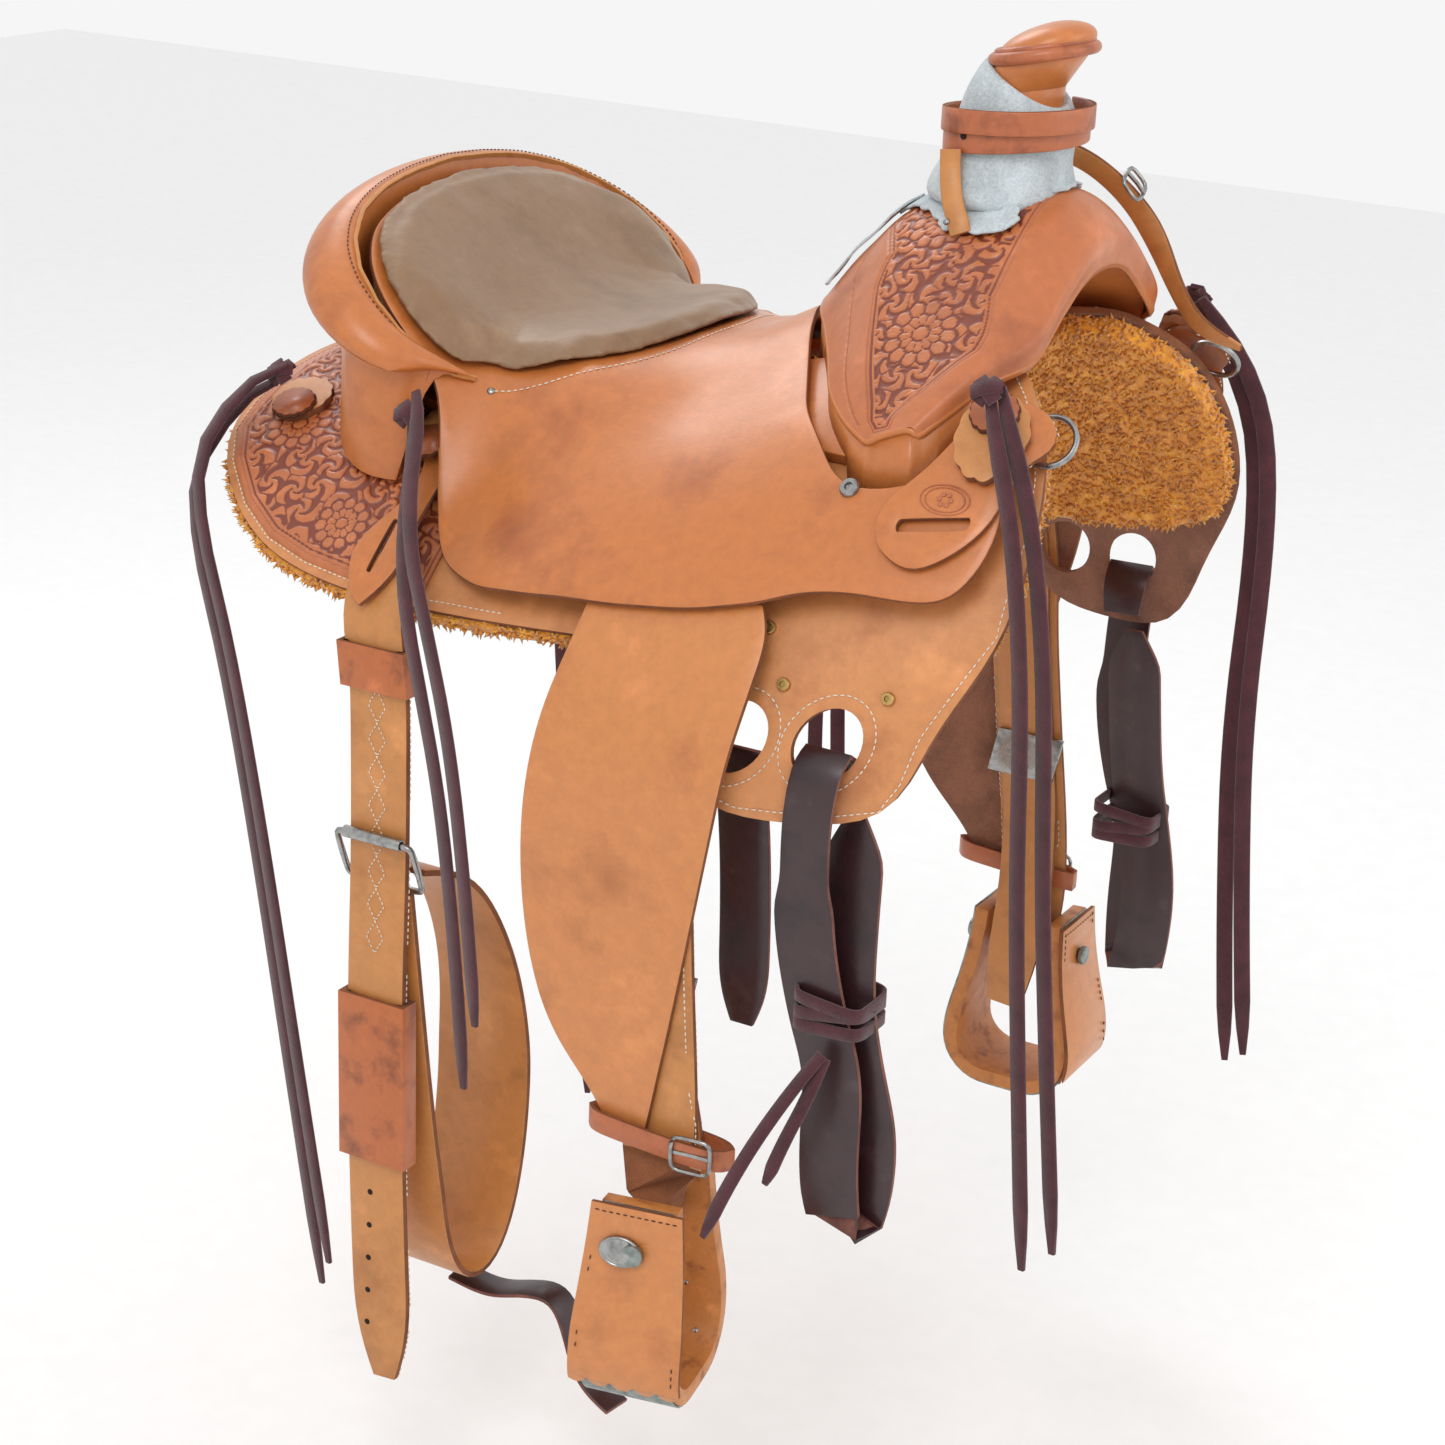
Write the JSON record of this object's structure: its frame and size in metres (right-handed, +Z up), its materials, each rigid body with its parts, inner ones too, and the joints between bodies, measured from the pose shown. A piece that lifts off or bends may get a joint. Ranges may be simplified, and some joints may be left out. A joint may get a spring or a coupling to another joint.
{
  "type": "western saddle",
  "caption": "Western stock saddle with tooled skirts, padded seat, wrapped horn, hung stirrups, latigos, saddle strings and a hung rear cinch.",
  "frame": {"origin": "point on the saddle's middle plane at the height of the horse's spine under the seat", "axes": "+X towards the horn and the horse's head, +Y towards the rider's left, +Z up"},
  "size_m": [0.7396, 0.716, 1.0789],
  "materials": {
    "leather_tan": "waxed, smooth",
    "leather_dark": "oiled",
    "leather_russet": "waxed, smooth",
    "seat_inlay": "soft, smooth",
    "suede": "napped",
    "fleece": "woolly pile",
    "tree": "raw",
    "stirrup_wood": "leather lined",
    "nickel": "plated",
    "galvanized": "galvanized",
    "string_leather": "suede"
  },
  "bodies": {
    "saddle": {"cantle_cover": "leather_tan", "cantle_rosette_left": "leather_russet", "cantle_rosette_right": "leather_russet", "cantle_string_left": "string_leather", "cantle_string_right": "string_leather", "fleece_left": "fleece", "fleece_right": "fleece", "front_carrier_left": "leather_tan", "front_carrier_right": "leather_tan", "front_rosette_left": "leather_russet", "front_rosette_right": "leather_russet", "front_string_left": "string_leather", "front_string_right": "string_leather", "horn_cap": "leather_russet", "horn_strap": "leather_russet", "horn_wrap": "suede", "jockey_rosette_left": "leather_russet", "jockey_rosette_right": "leather_russet", "jockey_string_left": "string_leather", "jockey_string_right": "string_leather", "rear_carrier_left": "leather_tan", "rear_carrier_right": "leather_tan", "rope_strap": "leather_russet", "seat_leather": "leather_tan", "seat_pad": "seat_inlay", "skirt_left": "leather_tan", "skirt_right": "leather_tan", "swell_cover": "leather_tan", "tree_bar_left": "tree", "tree_bar_right": "tree", "tree_cantle": "tree", "tree_fork": "tree"},
    "fender_right_side": {"fender_right": "leather_tan", "stirrup_leather_right": "leather_tan", "leather_buckle_right": "nickel", "hobble_strap_right": "leather_russet"},
    "fender_left_side": {"fender_left": "leather_tan", "stirrup_leather_left": "leather_tan", "leather_buckle_left": "nickel", "hobble_strap_left": "leather_russet"},
    "stirrup_right": {"stirrup_frame_right": "stirrup_wood", "stirrup_band_right": "galvanized", "stirrup_cover_right": "leather_tan", "stirrup_bolt_right": "nickel"},
    "stirrup_left": {"stirrup_frame_left": "stirrup_wood", "stirrup_band_left": "galvanized", "stirrup_cover_left": "leather_tan", "stirrup_bolt_left": "nickel"},
    "latigo_right": {"latigo_right": "leather_dark"},
    "latigo_left": {"latigo_left": "leather_dark"},
    "off_billet": {"off_billet_right": "leather_dark"},
    "dee_right": {"dee_ring_right": "nickel"},
    "dee_left": {"dee_ring_left": "nickel"},
    "flank_set": {"flank_billet": "leather_tan", "billet_keeper": "leather_russet", "billet_sleeve": "leather_russet", "flank_buckle": "nickel", "flank_cinch": "leather_tan", "connector_strap": "leather_dark"},
    "buckle_roller": {"flank_roller": "nickel"}
  },
  "joints": [
    {"name": "fender_swing_right", "type": "hinge", "parent": "saddle", "child": "fender_right_side", "pos_m": [0.1224, -0.236, -0.04], "axis": [0, -0.7314, 0.6819], "range_deg": [-8, 5]},
    {"name": "stirrup_swing_right", "type": "hinge", "parent": "fender_right_side", "child": "stirrup_right", "pos_m": [0.132, -0.301, -0.512], "axis": [0.1889, -0.982, 0], "range_deg": [-20, 20]},
    {"name": "latigo_swing_right", "type": "hinge", "parent": "saddle", "child": "latigo_right", "pos_m": [0.2456, -0.264, -0.14], "axis": [0, -1, 0], "range_deg": [-1, 5]},
    {"name": "dee_ring_lift_right", "type": "hinge", "parent": "saddle", "child": "dee_right", "pos_m": [0.303, -0.1503, 0.0652], "axis": [0, -0.6286, -0.7777], "range_deg": [0, 8]},
    {"name": "fender_swing_left", "type": "hinge", "parent": "saddle", "child": "fender_left_side", "pos_m": [0.1347, 0.236, -0.04], "axis": [0, -0.7314, -0.6819], "range_deg": [-5, 6]},
    {"name": "stirrup_swing_left", "type": "hinge", "parent": "fender_left_side", "child": "stirrup_left", "pos_m": [0.15, 0.301, -0.512], "axis": [1, 0, 0], "range_deg": [-20, 20]},
    {"name": "latigo_swing_left", "type": "hinge", "parent": "saddle", "child": "latigo_left", "pos_m": [0.2478, 0.264, -0.14], "axis": [0, -1, 0], "range_deg": [-1, 5]},
    {"name": "dee_ring_lift_left", "type": "hinge", "parent": "saddle", "child": "dee_left", "pos_m": [0.303, 0.1503, 0.0652], "axis": [0, -0.6286, 0.7777], "range_deg": [0, 8]},
    {"name": "off_billet_swing", "type": "hinge", "parent": "saddle", "child": "off_billet", "pos_m": [0.163, -0.262, -0.15], "axis": [0, -1, 0], "range_deg": [-6, 6]},
    {"name": "flank_swing", "type": "hinge", "parent": "saddle", "child": "flank_set", "pos_m": [-0.1206, -0.262, -0.1], "axis": [0, -0.7205, 0.6935], "range_deg": [-1, 3]},
    {"name": "roller_turn", "type": "hinge", "parent": "flank_set", "child": "buckle_roller", "pos_m": [-0.124, -0.295, -0.279], "axis": [1, 0, 0], "continuous": true}
  ]
}
